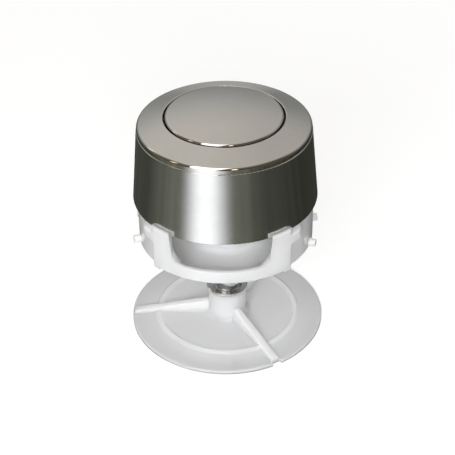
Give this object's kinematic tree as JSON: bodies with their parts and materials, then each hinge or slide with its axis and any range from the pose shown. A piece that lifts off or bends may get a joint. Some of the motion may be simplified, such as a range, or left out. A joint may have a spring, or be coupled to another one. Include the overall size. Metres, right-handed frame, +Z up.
{
  "type": "push button cistern actuator",
  "caption": "Round chrome push button in a tapered sleeve on a white bayonet base, with a spring-return plunger, threaded rod and ribbed push plate that works a flush valve.",
  "frame": {"origin": "on the axis, at the underside of the push plate that the actuator stands on", "axes": "+Z up along the rod towards the button, -Y out of the front window of the base"},
  "size_m": [0.076, 0.076, 0.0935],
  "materials": {
    "button_chrome": "fine satin plating",
    "polished_chrome": "polished plating",
    "satin_chrome": "satin plating",
    "white_moulding": "glossy moulded",
    "plated_steel": "bright plating",
    "spring_steel": "drawn wire"
  },
  "bodies": {
    "plate": {"push_plate": "white_moulding"},
    "nut": {"lock_nut": "plated_steel"},
    "pusher": {"push_rod": "plated_steel", "plunger": "white_moulding", "button_cap": "button_chrome", "return_spring": "spring_steel"},
    "housing": {"guide_base": "white_moulding", "outer_sleeve": "satin_chrome", "bezel_ring": "polished_chrome"}
  },
  "joints": [
    {"name": "plate_turn", "type": "hinge", "parent": "plate", "child": "nut", "pos_m": [0, 0, 0.0132], "axis": [0, 0, 1], "range_deg": [-360, 1080]},
    {"name": "height_adjust", "type": "slide", "parent": "nut", "child": "pusher", "axis": [0, 0, 1], "range_m": [-0.0015, 0.0045]},
    {"name": "button_press", "type": "slide", "parent": "pusher", "child": "housing", "axis": [0, 0, 1], "range_m": [0, 0.009], "stiffness_N_per_m": 300, "springref_m": -0.015, "deforming": ["return_spring"]}
  ],
  "couplings": [
    {"joint": "plate_turn", "follows": "height_adjust", "rad_per_m": 4188.8}
  ]
}
